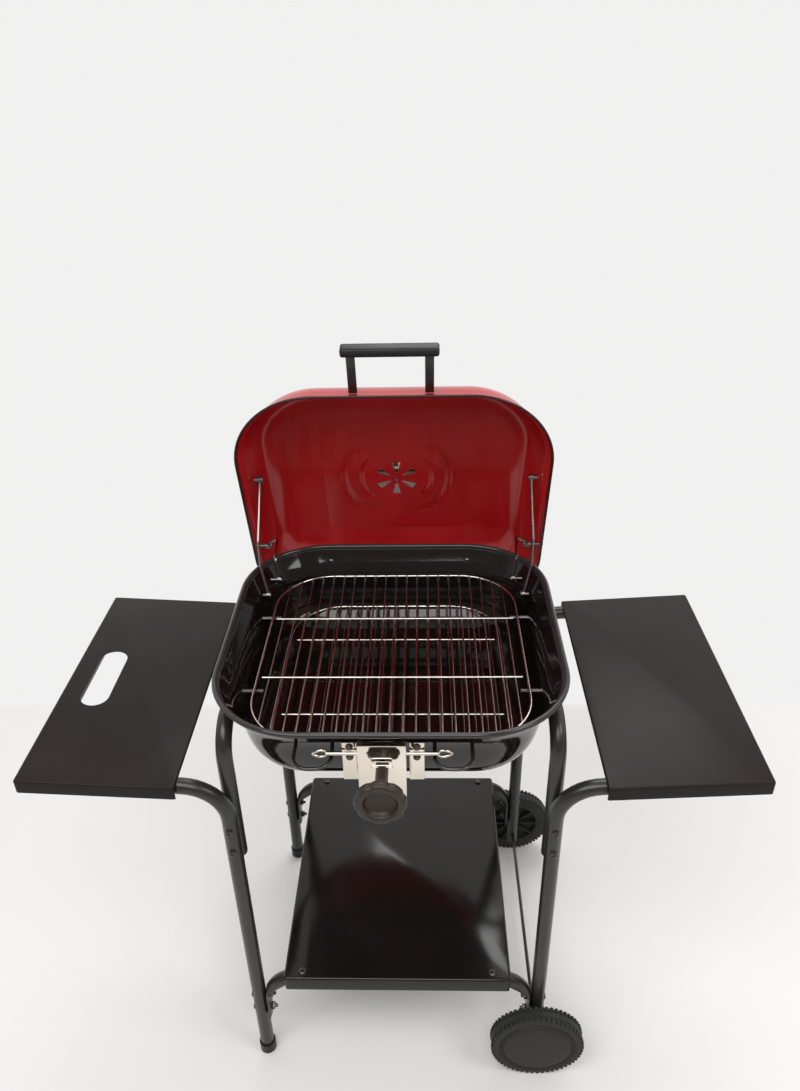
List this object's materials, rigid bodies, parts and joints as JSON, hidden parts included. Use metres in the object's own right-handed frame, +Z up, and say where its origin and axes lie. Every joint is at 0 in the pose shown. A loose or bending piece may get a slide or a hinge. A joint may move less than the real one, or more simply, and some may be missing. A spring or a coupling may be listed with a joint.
{
  "type": "charcoal barbecue trolley",
  "caption": "Charcoal barbecue with an enamelled bowl and hinged lid, on a tubular trolley with side tables, a shelf and wheels.",
  "frame": {"origin": "on the floor, in the middle between the four legs", "axes": "+X to the grill's right, towards the wheels; +Y to its back, where the open lid stands; +Z up"},
  "size_m": [0.9848, 0.6416, 1.093],
  "materials": {
    "painted_tube": "black semi-gloss powder coat",
    "painted_sheet": "black semi-gloss paint on steel sheet",
    "bowl_enamel": "glossy black vitreous enamel",
    "lid_enamel": "glossy red vitreous enamel",
    "chrome_plate": "polished plating",
    "stay_wire": "plain drawn steel wire",
    "grate_wire": "plated steel wire",
    "black_screws": "blackened steel",
    "black_plastic": "matt moulded phenolic plastic",
    "wheel_plastic": "moulded hard plastic"
  },
  "bodies": {
    "trolley": {"leg_front_left": "painted_tube", "leg_front_right": "painted_tube", "leg_rear_left": "painted_tube", "leg_rear_right": "painted_tube", "table_arm_left": "painted_tube", "table_arm_right": "painted_tube", "bowl_carrier_left": "painted_tube", "bowl_carrier_right": "painted_tube", "shelf_brace_front": "painted_tube", "shelf_brace_rear": "painted_tube", "side_table_left": "painted_sheet", "side_table_right": "painted_sheet", "shelf": "painted_sheet", "foot_cap_front": "black_plastic", "foot_cap_rear": "black_plastic", "shelf_bolt_1": "black_screws", "shelf_bolt_2": "black_screws", "shelf_bolt_3": "black_screws", "shelf_bolt_4": "black_screws", "bowl_bolt_front_left": "black_screws", "bowl_bolt_front_right": "black_screws", "bowl_bolt_rear_left": "black_screws", "bowl_bolt_rear_right": "black_screws", "bowl_pin_long_left": "black_screws", "bowl_pin_long_right": "black_screws", "bowl_pin_short_left": "black_screws", "bowl_pin_short_right": "black_screws", "axle": "black_screws", "bowl": "bowl_enamel", "clamp_plate": "chrome_plate", "clamp_strip_left": "chrome_plate", "clamp_strip_right": "chrome_plate", "clamp_rod": "chrome_plate", "front_hook_left": "black_screws", "front_hook_right": "black_screws"},
    "long_stays": {"long_stay_left": "stay_wire", "long_stay_right": "stay_wire"},
    "lid": {"lid": "lid_enamel", "handle_post_left": "painted_sheet", "handle_post_right": "painted_sheet", "handle_grip": "black_plastic", "damper_rivet": "chrome_plate", "lid_pin_long_left": "black_screws", "lid_pin_long_right": "black_screws", "lid_pin_short_left": "black_screws", "lid_pin_short_right": "black_screws"},
    "short_stays": {"short_stay_left": "stay_wire", "short_stay_right": "stay_wire"},
    "lid_damper": {"lid_damper": "chrome_plate"},
    "cooking_grate": {"cooking_grate": "grate_wire"},
    "charcoal_grate": {"charcoal_grate": "grate_wire"},
    "knob": {"knob": "black_plastic", "knob_screw": "chrome_plate"},
    "front_wheel": {"wheel_front": "wheel_plastic", "hub_cap_front": "wheel_plastic"},
    "rear_wheel": {"wheel_rear": "wheel_plastic", "hub_cap_rear": "wheel_plastic"}
  },
  "joints": [
    {"name": "lid_opening", "type": "hinge", "parent": "trolley", "child": "long_stays", "pos_m": [0, 0.1269, 0.6952], "axis": [1, 0, 0], "range_deg": [0, 105.8]},
    {"name": "lid_on_long_stays", "type": "hinge", "parent": "long_stays", "child": "lid", "pos_m": [0, 0.23522, 0.84737], "axis": [1, 0, 0], "range_deg": [-31.9, 0]},
    {"name": "short_stays_on_bowl", "type": "hinge", "parent": "trolley", "child": "short_stays", "pos_m": [0, 0.1599, 0.7038], "axis": [1, 0, 0], "range_deg": [0, 151.6]},
    {"name": "vent_damper", "type": "hinge", "parent": "lid", "child": "lid_damper", "pos_m": [0, 0.30352, 0.81598], "axis": [0, 0.9613, 0.2756], "range_deg": [0, 30]},
    {"name": "cooking_grate_lift", "type": "slide", "parent": "trolley", "child": "cooking_grate", "axis": [0, 0, 1], "range_m": [0, 0.09]},
    {"name": "charcoal_grate_lift", "type": "slide", "parent": "trolley", "child": "charcoal_grate", "axis": [0, 0, 1], "range_m": [0, 0.04]},
    {"name": "knob_turn", "type": "hinge", "parent": "trolley", "child": "knob", "pos_m": [-0.007, -0.297, 0.677], "axis": [0, 1, 0], "continuous": true},
    {"name": "front_wheel_spin", "type": "hinge", "parent": "trolley", "child": "front_wheel", "pos_m": [0.221, -0.2135, 0.0735], "axis": [0, 1, 0], "continuous": true},
    {"name": "rear_wheel_spin", "type": "hinge", "parent": "trolley", "child": "rear_wheel", "pos_m": [0.221, 0.2135, 0.0735], "axis": [0, 1, 0], "continuous": true}
  ],
  "couplings": [
    {"joint": "lid_on_long_stays", "follows": "lid_opening", "ratio": -0.3005},
    {"joint": "short_stays_on_bowl", "follows": "lid_opening", "ratio": 1.4316}
  ]
}
